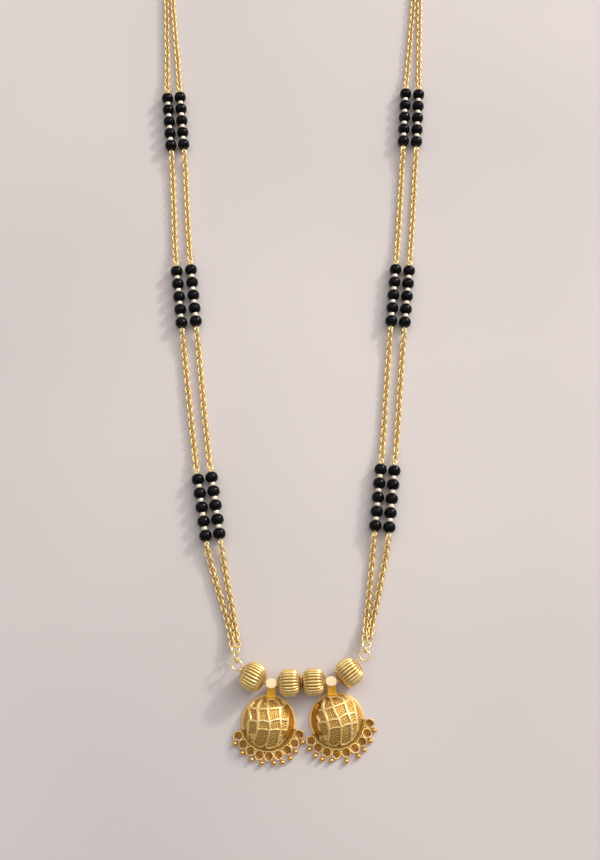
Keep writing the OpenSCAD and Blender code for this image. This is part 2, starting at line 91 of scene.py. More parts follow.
def circle(steps):
    """Even angles once round, in radians"""
    return np.arange(steps) * 2 * math.pi / steps


def run_along(points):
    """Length along a line up to each of its points"""
    step = np.linalg.norm(np.diff(points, axis=0), axis=1)
    return np.concatenate([[0], np.cumsum(step)])


def grid_faces(rows, cols, close_rows=False, close_cols=False):
    """Faces of a grid of points, which may close on itself either way"""
    r = np.arange(rows if close_rows else rows - 1)
    c = np.arange(cols if close_cols else cols - 1)
    a, b = (g.ravel() for g in np.meshgrid(r, c, indexing="ij"))
    a2, b2 = (a + 1) % rows, (b + 1) % cols
    return np.stack([a * cols + b, a * cols + b2, a2 * cols + b2, a2 * cols + b], axis=1)


def tube_faces(rows, cols):
    """Faces of a tube of rings, closed with a cap at each end"""
    faces = grid_faces(rows, cols, False, True).tolist()
    faces.append(list(range(cols)))
    faces.append([(rows - 1) * cols + j for j in reversed(range(cols))])
    return faces


class Shape:
    """Gathers parts into one mesh. Each part has a tone, which its material can read."""

    def __init__(self):
        self.verts, self.faces, self.tones, self.count = [], [], [], 0

    def add(self, verts, faces, tone=0.0, turn=None, move=(0, 0, 0)):
        verts = np.asarray(verts, float).reshape(-1, 3)
        if turn is not None:
            verts = verts @ turn.T
        verts = verts + np.asarray(move, float)
        self.verts.append(verts)
        self.faces += [[int(i) + self.count for i in f] for f in faces]
        self.tones.append(np.broadcast_to(np.ravel(tone), (len(verts),)))
        self.count += len(verts)

    def join(self, other, turn=None, move=(0, 0, 0)):
        self.add(np.concatenate(other.verts), other.faces, np.concatenate(other.tones), turn, move)

    def make(self, name, material, slot, nodes):
        """The object, on the root body, in place of the named nodes"""
        mesh = bpy.data.meshes.new(name)
        mesh.from_pydata((np.concatenate(self.verts) * MM).tolist(), [], self.faces)
        mesh.attributes.new("tone", "FLOAT", "POINT").data.foreach_set(
            "value", np.concatenate(self.tones).astype(np.float32))
        mesh.polygons.foreach_set("use_smooth", [True] * len(mesh.polygons))
        mesh.materials.append(material)
        obj = bpy.data.objects.new(name, mesh)
        bpy.context.scene.collection.objects.link(obj)
        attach(obj, "root")
        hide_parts(*nodes)
        return obj


UP = np.array([0.0, 0, 1])
# How far each extra ring at a wire's end shrinks and goes on, as shares of the radius
WIRE_END = ((0.7, 0.7), (0.15, 1.0))
# Angle between a ball's axis and its first ring, in radians
BALL_POLE = 0.06


def closed_wire(path, radius, sides):
    """Wire round a closed path that lies flat"""
    ahead = unit(np.roll(path, -1, axis=0) - np.roll(path, 1, axis=0))
    out = np.cross(ahead, UP)
    a = circle(sides)[None, :, None]
    verts = path[:, None] + radius * (np.cos(a) * out[:, None] + np.sin(a) * UP)
    return verts.reshape(-1, 3), grid_faces(len(path), sides, True, True)


def wire_ring(outer_d, wire, steps, sides, stretch=1.0):
    """Ring in the XY plane, which may be stretched along Y"""
    t = circle(steps)
    r = (outer_d - wire) / 2
    path = np.stack([r * np.cos(t), r * stretch * np.sin(t), 0 * t], axis=1)
    return closed_wire(path, wire / 2, sides)


def wire_along(points, radius, sides):
    """Round wire through points, with rounded ends"""
    ahead = unit(np.gradient(points, axis=0))
    side = unit(np.cross(UP, ahead))
    top = np.cross(ahead, side)
    a = circle(sides)[None, :, None]
    ring = np.cos(a) * side[:, None] + np.sin(a) * top[:, None]
    rows = list(points[:, None] + radius * ring)
    for shrink, push in WIRE_END:
        rows.insert(0, points[0] + radius * (shrink * ring[0] - push * ahead[0]))
        rows.append(points[-1] + radius * (shrink * ring[-1] + push * ahead[-1]))
    return np.concatenate(rows), tube_faces(len(rows), sides)


def ball(d, steps, rows):
    """Ball with its poles on Z"""
    a = circle(steps)
    b = np.linspace(BALL_POLE, math.pi - BALL_POLE, rows)[:, None]
    verts = np.stack([np.sin(b) * np.cos(a), np.sin(b) * np.sin(a), np.cos(b) + 0 * a],
                     axis=-1) * d / 2
    return verts.reshape(-1, 3), tube_faces(rows, steps)


# The lay of the necklace, with the values of the part's source. A bead group is its middle's x
# and y, its lean and the gap between its two strings. The neck's route is for the right side.

LEFT_GROUPS = [(-21, -82.9, 8.8, 0.3), (-28.1, -26.3, 6.5, 0.6), (-32.4, 25.4, 5.3, 0.3)]
RIGHT_GROUPS = [(23.4, -80.8, -6.2, 0.3), (28.5, -26.2, -5.7, 0.4), (32.7, 26.5, -3.9, 0.4)]
NECK_ROUTE = [(35.3, 64.7), (36.5, 86), (37, 107), (35.2, 118.2), (29.9, 128.4),
              (21.7, 136.5), (11.4, 142)]
CLASP_Y = 144.0
# The front wire's middle and lean. An end of it has the lean past its bend, the room between
# bail and bend, the loop's place past the fluted bead and aside of it, the way that the chains
# pull its ring and how far that drops, and the ring's outer diameter.
WIRE_MID, WIRE_TURN = np.array([2.3, -126.3]), 2
LEFT_END = {"side": -1, "turn": 29, "room": 0.22, "reach": 1.65, "step": 0.5,
            "pull": 7, "drop": 24, "ring": 3.4}
RIGHT_END = {"side": 1, "turn": 38, "room": 0.37, "reach": 2.4, "step": 0.75,
             "pull": -10, "drop": 22, "ring": 2.1}
CHAIN_D = 1.5
BEADS, BEAD_D, BEAD_L, SPACER_D, SPACER_L = 5, 3.2, 2.6, 1.45, 0.85
GAP, LINK_GAP = 0.1, 0.15
MELON_D, MELON_L, FLUTES = 6.6, 5.7, 24
END_MELON_D, END_MELON_L, END_MELON_GAP = 6.9, 6.1, 0.3
WIRE_D, LOOP_D, RING_WIRE, GATHER_D = 0.45, 2.9, 0.4, 2.3
EYE_D = 1.4
BAIL_L, BAIL_D, BAIL_END_D, BAIL_BORE, BAIL_FLAT, BAIL_GAP = 2.6, 2.6, 1.5, 1.0, 0.6, 0.15
CUP_D, CUP_H, RIB_H, CUP_WALL, RIM_WIRE, REACH = 13.0, 5.0, 0.25, 0.5, 0.5, 9.0
LOOP_OUT, LOOP_WIRE, STRIP_W, STRIP_T = 2.3, 0.33, 0.45, 0.35
BALL_D, BALL_EYE_D, BALL_EYE_WIRE = 1.2, 1.14, 0.22
END_RING_D, END_RING_WIRE = 2.9, 0.5
HOOK_WIRE, HOOK_BEND = 0.8, 3.4
PITCH = BEAD_L + SPACER_L + 2 * GAP
EYE_AT = (BEADS * BEAD_L + (BEADS - 1) * (SPACER_L + 2 * GAP)) / 2 + GAP + EYE_D / 2
STRING_Z = BEAD_D / 2
WIRE_Z = END_MELON_D / 2
CUP_R = CUP_D / 2
DOME_R = (CUP_R ** 2 + CUP_H ** 2) / (2 * CUP_H)
DOME_Z = CUP_H - DOME_R
SKIN_R = DOME_R - RIB_H
HOLLOW_R = SKIN_R - CUP_WALL
BAIL_AT = GAP / 2 + MELON_L + BAIL_GAP + BAIL_L / 2


def string_middle(group, strand):
    """Middle of one string of a group, strand -1 on the left or 1 on the right"""
    return np.array(group[:2]) + turned(group[2], (strand * (BEAD_D + group[3]) / 2, 0))


def eye_middle(group, strand, end):
    """Middle of a string's eye, with end 1 towards the neck and -1 towards the cups"""
    return string_middle(group, strand) + turned(group[2], (0, end * EYE_AT))


def on_wire(t):
    """Point on the straight middle of the front wire"""
    return WIRE_MID + turned(WIRE_TURN, (t, 0))


def end_turn(e):
    """Way of the front wire past its bend"""
    return 180 - e["turn"] if e["side"] < 0 else e["turn"]


def past_bend(e, t):
    """Point on the front wire past its bend"""
    bend = on_wire(e["side"] * (BAIL_AT + BAIL_L / 2 + e["room"]))
    return bend + turned(end_turn(e), (t, 0))


def heading(turn, drop):
    """Way in space that drops below the way in plan"""
    t, d = math.radians(turn), math.radians(drop)
    return np.array([-math.sin(t) * math.cos(d), math.cos(t) * math.cos(d), -math.sin(d)])


def gather_far(e):
    """Far side of the gather ring, where the two strands begin"""
    loop_r = (LOOP_D - WIRE_D) / 2
    loop_mid = (past_bend(e, END_MELON_GAP + END_MELON_L + e["reach"])
                + turned(end_turn(e), (0, e["side"] * e["step"])))
    pull = heading(e["pull"], e["drop"])
    p = flat(loop_mid, WIRE_Z) + loop_r * heading(e["pull"], 0)
    join_r = (e["ring"] - RING_WIRE) / 2
    join_mid = p + (join_r - (RING_WIRE / 2 + WIRE_D / 2 + LINK_GAP)) * pull
    gather_r = (GATHER_D - RING_WIRE) / 2
    gather_mid = join_mid + (join_r + gather_r - (RING_WIRE + LINK_GAP)) * pull
    return gather_mid + gather_r * pull


# Materials. Scales of noise are per metre, so 900 gives marks of about 1 mm.

WEAR, HAMMER, HAMMER_STRENGTH = 900, 9000, 0.05
GRAIN_DEPTH = 0.0002
WEAVE, WEAVE_DEPTH = 420, 0.00008
# Sockets of a Mix node once it mixes colours
MIX_FIRST, MIX_SECOND, MIX_RESULT = 6, 7, 2


def nodes_of(name):
    """New material with its tree, its shader and its node of coordinates"""
    material = bpy.data.materials.new(name)
    material.use_nodes = True
    tree = material.node_tree
    coords = tree.nodes.new("ShaderNodeTexCoord")
    return material, tree, tree.nodes["Principled BSDF"], coords


def link(tree, a, out, b, into):
    """Output of node a into an input of node b"""
    tree.links.new(a.outputs[out], b.inputs[into])


def noise(tree, coords, scale, detail=3.0):
    n = tree.nodes.new("ShaderNodeTexNoise")
    n.inputs["Scale"].default_value = scale
    n.inputs["Detail"].default_value = detail
    link(tree, coords, "Object", n, "Vector")
    return n


def ramp(tree, source, out, stops):
    """Colour ramp over an output of a node"""
    r = tree.nodes.new("ShaderNodeValToRGB")
    for i, (at, color) in enumerate(stops):
        e = r.color_ramp.elements[i] if i < 2 else r.color_ramp.elements.new(at)
        e.position, e.color = at, (*color, 1)
    link(tree, source, out, r, "Fac")
    return r


def mottled(tree, coords, scale, stops, detail=3.0):
    """Colour ramp over noise"""
    return ramp(tree, noise(tree, coords, scale, detail), "Fac", stops)


def grey(v):
    return (v, v, v)


def share_of(tree, source, low, high):
    """0 below low and 1 above high"""
    m = tree.nodes.new("ShaderNodeMapRange")
    m.inputs["From Min"].default_value = low
    m.inputs["From Max"].default_value = high
    link(tree, source, "Fac", m, "Value")
    return m


def blend(tree, share, first, second):
    """Colour between two, each a node's output or a plain colour"""
    mix = tree.nodes.new("ShaderNodeMix")
    mix.data_type = "RGBA"
    tree.links.new(share.outputs[0], mix.inputs[0])
    for socket, value in ((MIX_FIRST, first), (MIX_SECOND, second)):
        if isinstance(value, tuple):
            mix.inputs[socket].default_value = (*value, 1)
        else:
            tree.links.new(value, mix.inputs[socket])
    return mix.outputs[MIX_RESULT]


def toned(tree):
    """Node that reads the tone of a Shape's points"""
    mask = tree.nodes.new("ShaderNodeAttribute")
    mask.attribute_name = "tone"
    return mask


def bumped(tree, shader, source, out, strength, depth):
    """Relief in the light alone, from an output of a node"""
    bump = tree.nodes.new("ShaderNodeBump")
    bump.inputs["Strength"].default_value = strength
    bump.inputs["Distance"].default_value = depth
    link(tree, source, out, bump, "Height")
    link(tree, bump, "Normal", shader, "Normal")


def grained(tree, coords, shader, scale, strength):
    """Fine grain, as relief in the light"""
    bumped(tree, shader, noise(tree, coords, scale, 2), "Fac", strength, GRAIN_DEPTH)


def gold(name, deep, bright, rough, metal, hollow=None):
    """Polished gold with faint tone changes, uneven polish and fine hammer marks, and with
    a deeper colour where the tone is 0 if that colour is given, which is painted shade"""
    material, tree, shader, coords = nodes_of(name)
    shown = mottled(tree, coords, WEAR, [(0.35, deep), (0.65, bright)], 4).outputs[0]
    if hollow:
        shown = blend(tree, share_of(tree, toned(tree), 0.15, 0.8), hollow, shown)
    tree.links.new(shown, shader.inputs["Base Color"])
    shine = mottled(tree, coords, WEAR * 2.3, [(0.3, grey(rough[0])), (0.7, grey(rough[1]))])
    link(tree, shine, "Color", shader, "Roughness")
    shader.inputs["Metallic"].default_value = metal
    grained(tree, coords, shader, HAMMER, HAMMER_STRENGTH)
    return material


# Tones of a cup: its ground is 0 and a rib 1, and between them stand the curls of the ground.
# Tones below 0 are painted shade: the inner turns of the loops, the strip's inner part and,
# at -1, the flank towards the other cup.
COIL_SHADE_TONE, RECESS_SHADE_TONE, INSIDE_TONE, LOOP_TONE, RIB_TONE = -0.35, -0.2, 0.6, 0.6, 1.0
NECK_TONE, BAIL_TONE = 2.0, 3.0


def cup_gold(name):
    """Satin ribs over a ground of fine curls, darker in the curls' low parts as painted shade,
    deep orange where the tone is below 0 as painted shade and reflection, and polished on the
    neck and the bail"""
    material, tree, shader, coords = nodes_of(name)
    mask = toned(tree)
    # Partly the ground's own colour and partly painted shade: dark brown in the low parts between
    # the curls, gold on their tops
    ground = ramp(tree, mask, "Fac", [(0.0, (0.34, 0.18, 0.025)), (0.42, (0.86, 0.55, 0.16))])
    rib = mottled(tree, coords, 700, [(0.35, (0.96, 0.68, 0.27)), (0.65, (1.0, 0.79, 0.39))])
    color = blend(tree, share_of(tree, mask, 0.45, 0.7), ground.outputs[0], rib.outputs[0])
    # Painted shade and reflection: tones below 0 blend into a deep orange
    color = blend(tree, share_of(tree, mask, -0.8, -0.1), (0.60, 0.25, 0.012), color)
    polished = share_of(tree, mask, 1.2, 1.6)
    color = blend(tree, polished, color, (1.0, 0.53, 0.03))
    color = blend(tree, share_of(tree, mask, 2.2, 2.6), color, (1.0, 0.77, 0.47))
    tree.links.new(color, shader.inputs["Base Color"])
    metal = ramp(tree, share_of(tree, mask, 1.2, 2.8), 0,
                 [(0.0, grey(0.55)), (0.4, grey(0.2)), (0.6, grey(0.2)), (1.0, grey(0.7))])
    link(tree, metal, "Color", shader, "Metallic")
    rough = ramp(tree, polished, 0, [(0.0, grey(0.46)), (1.0, grey(0.27))])
    link(tree, rough, "Color", shader, "Roughness")
    grained(tree, coords, shader, 5000, 0.12)
    return material


def fluted_gold(name):
    """Satin ridges with painted shade down in the grooves, a darker gold; tone 0 is a groove, 1 a
    ridge
    """
    material, tree, shader, coords = nodes_of(name)
    ridge = mottled(tree, coords, 600, [(0.35, (0.93, 0.66, 0.24)), (0.65, (0.99, 0.77, 0.34))])
    color = blend(tree, share_of(tree, toned(tree), 0.1, 0.85), (0.42, 0.22, 0.03),
                  ridge.outputs[0])
    tree.links.new(color, shader.inputs["Base Color"])
    rough = mottled(tree, coords, 1500, [(0.3, grey(0.2)), (0.7, grey(0.3))])
    link(tree, rough, "Color", shader, "Roughness")
    shader.inputs["Metallic"].default_value = 0.75
    grained(tree, coords, shader, 3000, 0.01)
    return material


def black_glass(name):
    """Black glass with faint smears in its gloss"""
    material, tree, shader, coords = nodes_of(name)
    tone = mottled(tree, coords, 400, [(0.3, (0.002, 0.002, 0.0025)), (0.7, (0.006, 0.005, 0.006))])
    link(tree, tone, "Color", shader, "Base Color")
    smear = mottled(tree, coords, 1500, [(0.3, grey(0.05)), (0.8, grey(0.11))])
    link(tree, smear, "Color", shader, "Roughness")
    shader.inputs["IOR"].default_value = 1.5
    shader.inputs["Specular IOR Level"].default_value = 0.12
    return material


def cloth(name):
    """Pale plain cloth with a fine weave and slow changes of tone"""
    material, tree, shader, coords = nodes_of(name)
    color = mottled(tree, coords, 7, [(0.3, (0.60, 0.55, 0.535)), (0.7, (0.695, 0.635, 0.61))], 2)
    link(tree, color, "Color", shader, "Base Color")
    shader.inputs["Roughness"].default_value = 0.9
    waves = []
    for direction in ("X", "Y"):
        w = tree.nodes.new("ShaderNodeTexWave")
        w.bands_direction = direction
        w.inputs["Scale"].default_value = WEAVE
        w.inputs["Distortion"].default_value = 3
        w.inputs["Detail Scale"].default_value = 2
        link(tree, coords, "Object", w, "Vector")
        waves.append(w)
    add = tree.nodes.new("ShaderNodeMath")
    link(tree, waves[0], "Fac", add, 0)
    link(tree, waves[1], "Fac", add, 1)
    bumped(tree, shader, add, 0, 0.05, WEAVE_DEPTH)
    return material


# The chain's deeper colour is painted shade on the inner side of each link's wire
CHAIN_GOLD = gold("chain_gold", (0.95, 0.69, 0.27), (1.0, 0.80, 0.40), (0.38, 0.5), 0.6,
                  (0.56, 0.34, 0.08))
WIRE_GOLD = gold("wire_gold", (0.92, 0.68, 0.29), (0.97, 0.78, 0.42), (0.22, 0.34), 0.9)
MELON_GOLD = fluted_gold("melon_gold")
FRINGE_GOLD = gold("fringe_gold", (0.95, 0.51, 0.10), (0.98, 0.64, 0.19), (0.13, 0.22), 1.0)
PALE_GOLD = gold("pale_gold", (0.90, 0.78, 0.55), (0.95, 0.86, 0.67), (0.40, 0.52), 0.4)
CUP_GOLD = cup_gold("cup_gold")
BLACK = black_glass("black_glass")


# Chains: slack oval links, each rolled across the one before. The rolls are how far every
# second link lies from flat, by the part of the necklace, from the cups to the neck.

LINK_L, LINK_W, LINK_WIRE, LINK_PITCH = 2.36, 1.88, 0.42, 1.19
LINK_STEPS, LINK_SIDES, LINK_POINTED = 20, 8, 0.15
LINK_SLACK, STRAND_GAP, LOW_SINK, NECK_SINK, START_LIFT = 0.03, 0.25, 7.0, 6.0, 0.05
LOWEST_ROLL, BETWEEN_ROLLS, NECK_ROLL = 25, (36, 45), 45
ROLL_PLAY, SIDE_PLAY, FLOOR_GAP = 5, 0.04, 0.01
ROUTE_STEPS, ROUTE_EASE, FINE_STEPS = 60, 0.9, 400
# How far the strands' last links lie from the middle of the gather ring and of the end ring
GATHER_ASIDE, END_RING_ASIDE = 0.62, 0.45


def link_form():
    """Flat link, with tone 1 on its outer side and 0 on its inner side, where the chain's gold is
    painted a deeper colour as shade
    """
    t = circle(LINK_STEPS)
    half_l, half_w = (LINK_L - LINK_WIRE) / 2, (LINK_W - LINK_WIRE) / 2
    pointed = np.abs(np.sin(t)) ** LINK_POINTED
    path = np.stack([half_l * np.cos(t), half_w * np.sin(t) * pointed, 0 * t], axis=1)
    verts, faces = closed_wire(path, LINK_WIRE / 2, LINK_SIDES)
    tones = np.tile(0.5 + 0.5 * np.cos(circle(LINK_SIDES)), len(path))
    return verts, faces, tones


LINK_VERTS, LINK_FACES, LINK_SHADE_TONES = link_form()


def resample(points, count):
    """Points at even steps along a line, and its length"""
    s = run_along(points)
    at = np.linspace(0, s[-1], count)
    return np.stack([np.interp(at, s, points[:, i]) for i in range(3)], axis=1), s[-1]


def lay_chain(shape, route, flat_roll):
    """Links along a route whose ends are the outer ends of the first and last link; every
    second one is rolled flat_roll degrees from flat and the others lie across it"""
    fine, length = resample(route, FINE_STEPS)
    last = FINE_STEPS - 1
    run = length - LINK_L
    count = max(int(math.ceil(run / LINK_PITCH)) + 1, 2)
    pitch = run / (count - 1)
    for i in range(count):
        s = (LINK_L / 2 + i * pitch) / length * last
        k = int(min(s, last - 1))
        mid = fine[k] + (s - k) * (fine[k + 1] - fine[k])
        ahead = unit(fine[min(k + 2, last)] - fine[max(k - 2, 0)])
        side = unit(np.cross(UP, ahead))
        up = np.cross(ahead, side)
        play = rng.uniform(-ROLL_PLAY, ROLL_PLAY)
        roll = math.radians(flat_roll - (90 if i % 2 else 0) + play)
        a = math.cos(roll) * side + math.sin(roll) * up
        turn = np.stack([ahead, a, np.cross(ahead, a)], axis=1)
        jog = side * rng.uniform(-SIDE_PLAY, SIDE_PLAY)
        verts = LINK_VERTS @ turn.T + mid + jog
        sunk = max(FLOOR_GAP - verts[:, 2].min(), 0)
        shape.add(verts, LINK_FACES, LINK_SHADE_TONES, None, sunk * UP)


def link_end(eye, towards):
    """Outer end of a link whose end wire lies in the hole of an eye"""
    return eye - towards * (LINK_WIRE / 2 - LINK_SLACK)


def eased(p0, d0, p1, d1):
    """Curve in plan from p0, heading d0, to p1, heading d1"""
    reach = np.linalg.norm(p1 - p0) * ROUTE_EASE
    return np.array([(2 * s ** 3 - 3 * s ** 2 + 1) * p0 + (s ** 3 - 2 * s ** 2 + s) * reach * d0
                     + (3 * s ** 2 - 2 * s ** 3) * p1 + (s ** 3 - s ** 2) * reach * d1
                     for s in np.linspace(0, 1, ROUTE_STEPS)])


def sink(plan, z0, z1, reach):
    """Heights for points in plan: from z0 and z1 at the ends down to the floor between them"""
    s = run_along(plan)
    z = (CHAIN_D / 2 + (z0 - CHAIN_D / 2) * (1 - smooth_step(s / reach))
         + (z1 - CHAIN_D / 2) * (1 - smooth_step((s[-1] - s) / reach)))
    return np.column_stack([plan, z])


def chain_between(low, high, strand):
    """Route between two bead groups"""
    up0, up1 = turned(low[2], (0, 1)), turned(high[2], (0, 1))
    start = link_end(eye_middle(low, strand, 1), up0)
    finish = link_end(eye_middle(high, strand, -1), -up1)
    return sink(eased(start, up0, finish, up1), STRING_Z, STRING_Z, LOW_SINK)


def chain_below(e, group, strand):
    """Route from the gather ring to the lowest bead group"""
    far = gather_far(e)
    way = turned(e["pull"], (0, 1))
    up1 = turned(group[2], (0, 1))
    start = (far[:2] + turned(e["pull"], (strand * GATHER_ASIDE, 0))
             - way * (RING_WIRE / 2 + LINK_WIRE + LINK_SLACK))
    finish = link_end(eye_middle(group, strand, -1), -up1)
    start_z = max(far[2], CHAIN_D / 2) + START_LIFT
    return sink(eased(start, way, finish, up1), start_z, STRING_Z, LOW_SINK)


def through(points, count=30):
    """Smooth curve through points, with count steps between each two"""
    p = np.asarray(points, float)
    p = np.vstack([2 * p[0] - p[1], p, 2 * p[-1] - p[-2]])
    out = []
    for i in range(1, len(p) - 2):
        for s in np.linspace(0, 1, count, endpoint=False):
            out.append(0.5 * (2 * p[i] + (p[i + 1] - p[i - 1]) * s
                              + (2 * p[i - 1] - 5 * p[i] + 4 * p[i + 1] - p[i + 2]) * s ** 2
                              + (3 * p[i] - p[i - 1] - 3 * p[i + 1] + p[i + 2]) * s ** 3))
    out.append(p[-2])
    return np.array(out)


HOOK_R = (HOOK_BEND - HOOK_WIRE) / 2
END_RING_R = (END_RING_D - END_RING_WIRE) / 2
HOOK_TIP, CLASP_ROLL = 1.4 * HOOK_WIRE, 45
CLASP_Z = HOOK_R * math.sin(math.radians(CLASP_ROLL)) + HOOK_TIP / 2
END_RING_AT = 2 * HOOK_R - HOOK_WIRE / 2 - LINK_GAP - END_RING_WIRE / 2 + END_RING_R


def neck_chain(group, side, strand):
    """Route from the highest bead group to the end ring behind the neck"""
    whole = [np.array(group[:2], float)] + [np.array([side * x, y]) for x, y in NECK_ROUTE]
    end = side * (END_RING_AT + END_RING_D / 2 + 3 * LINK_GAP)
    whole.append(np.array([end, CLASP_Y]))
    aside = strand * (CHAIN_D + STRAND_GAP) / 2
    points = []
    for i in range(1, len(whole)):
        ahead = (np.array([-side, 0.0]) if i == len(whole) - 1
                 else whole[i + 1] - whole[i - 1])
        along = unit(ahead)
        points.append(whole[i] + aside * np.array([along[1], -along[0]]))
    start = link_end(eye_middle(group, strand, 1), turned(group[2], (0, 1)))
    reach = END_RING_AT + END_RING_D / 2 - END_RING_WIRE - LINK_WIRE - LINK_SLACK
    last = np.array([side * reach, CLASP_Y - side * strand * END_RING_ASIDE])
    plan = through([start] + points[:-1] + [last])
    return sink(plan, STRING_Z, CLASP_Z, NECK_SINK)


for side, end, groups in (("left", LEFT_END, LEFT_GROUPS), ("right", RIGHT_END, RIGHT_GROUPS)):
    for strand in (-1, 1):
        where = "outer" if (strand < 0) == (side == "left") else "inner"
        shape = Shape()
        lay_chain(shape, chain_below(end, groups[0], strand), LOWEST_ROLL)
        for low, high, roll in zip(groups, groups[1:], BETWEEN_ROLLS):
            lay_chain(shape, chain_between(low, high, strand), roll)
        node = "chain_%s_%s" % (side, where)
        shape.make(node + "_links", CHAIN_GOLD, "gold_chain", [node])
        shape = Shape()
        lay_chain(shape, neck_chain(groups[2], end["side"], strand), NECK_ROLL)
        node = "neck_chain_%s_%s" % (side, where)
        shape.make(node + "_links", CHAIN_GOLD, "gold_chain", [node])


# Black beads with triangular facets, and the spacers between them. A ring of a bead is its
# place along the bead and its width, as shares of half the length and half the diameter.

BEAD_SIDES, BEAD_HOLE_R, BEAD_POLISH = 13, 0.45, 0.8
SPACER_STEPS, SPACER_HOLE_R, SPACER_LIP_R = 28, 0.375, 0.5
BEAD_RINGS = [(-1, 0.5), (-0.86, 0.72), (-0.48, 0.96), (0.02, 1.02), (0.52, 0.95),
              (0.88, 0.7), (1, 0.5)]


def bead_form():
    """Bead along Y with its hole, each ring of facets turned half a facet to the last"""
    rows = [(at * BEAD_L / 2, wide * BEAD_D / 2) for at, wide in BEAD_RINGS]
    rows += [(BEAD_L / 2, BEAD_HOLE_R), (-BEAD_L / 2, BEAD_HOLE_R)]
    rings = []
    for i, (y, r) in enumerate(rows):
        shift = 0.5 if i % 2 and i < len(BEAD_RINGS) else 0
        a = circle(BEAD_SIDES) + shift * 2 * math.pi / BEAD_SIDES
        rings.append(np.stack([r * np.cos(a), 0 * a + y, r * np.sin(a)], axis=1))
    faces = []
    for i in range(len(rows)):
        k = (i + 1) % len(rows)
        for j in range(BEAD_SIDES):
            a, b = i * BEAD_SIDES + j, i * BEAD_SIDES + (j + 1) % BEAD_SIDES
            d, c = k * BEAD_SIDES + j, k * BEAD_SIDES + (j + 1) % BEAD_SIDES
            if i < len(BEAD_RINGS) - 1:
                faces += [[a, b, d], [b, c, d]] if i % 2 == 0 else [[a, c, d], [a, b, c]]
            else:
                faces.append([a, b, c, d])
    return np.concatenate(rings), [f[::-1] for f in faces]


def spacer_form():
    """Small gold barrel along Y with rolled ends"""
    r, h = SPACER_D / 2, SPACER_L / 2
    end = [(SPACER_HOLE_R, 0.9 * h), (SPACER_LIP_R, h), (0.92 * r, h), (0.99 * r, 0.82 * h)]
    profile = [(p, -y) for p, y in end] + [(r, 0)] + end[::-1]
    verts = [[p * math.cos(t), y, p * math.sin(t)]
             for p, y in profile for t in circle(SPACER_STEPS)]
    return np.array(verts), grid_faces(len(profile), SPACER_STEPS, True, True)[:, ::-1]


def soften(obj, share):
    """Facets shaded part of the way towards the round form, as polished edges are"""
    mesh = obj.data
    normals = []
    for face in mesh.polygons:
        for i in face.vertices:
            normals.append((face.normal * (1 - share)
                            + mesh.vertices[i].normal * share).normalized())
    mesh.normals_split_custom_set(normals)


BEAD_VERTS, BEAD_FACES = bead_form()
SPACER_VERTS, SPACER_FACES = spacer_form()

for side, groups in (("left", LEFT_GROUPS), ("right", RIGHT_GROUPS)):
    for g, group in enumerate(groups):
        beads, spacers = Shape(), Shape()
        lean = about(2, group[2])
        for strand in (-1, 1):
            mid = flat(string_middle(group, strand), STRING_Z)
            for k in range(BEADS):
                spin = about(1, rng.uniform(0, 360))
                beads.add(BEAD_VERTS, BEAD_FACES, 0, lean @ spin,
                          mid + lean @ np.array([0, (k - (BEADS - 1) / 2) * PITCH, 0]))
            for k in range(BEADS - 1):
                spacers.add(SPACER_VERTS, SPACER_FACES, 0, lean,
                            mid + lean @ np.array([0, (k - (BEADS - 2) / 2) * PITCH, 0]))
        node = "black_beads_%s_%d" % (side, g + 1)
        soften(beads.make(node + "_faceted", BLACK, "black_glass", [node]), BEAD_POLISH)
        node = "gold_spacers_%s_%d" % (side, g + 1)
        spacers.make(node + "_rolled", PALE_GOLD, "pale_gold", [node])


# Fluted beads. Their hole's rings are a place along the bead, as a share of half its length,
# and a radius. The end beads have fine cuts across every second lobe, as cord has.

LOBE_STEPS, MELON_ROWS, GROOVE = 14, 61, 0.6
# The swell along a bead stops just short of closing, and so does a lobe's half circle
SWELL_TO, SWELL_POWER, LOBE_TO = 0.985, 2.7, 0.97
CORD_CUT, CORD_PITCH, CORD_SLANT = 0.02, 0.26, 1.1
MELON_HOLE = ((1.0, 0.72), (0.96, 0.6), (0.9, 0.45), (0.0, 0.45), (-0.9, 0.45), (-0.96, 0.6),
              (-1.0, 0.72))
# The hole is toned dark, painted shade inside it
HOLE_PETALS, HOLE_PETAL_H, HOLE_SHADE_TONE = 7, 0.06, 0.3


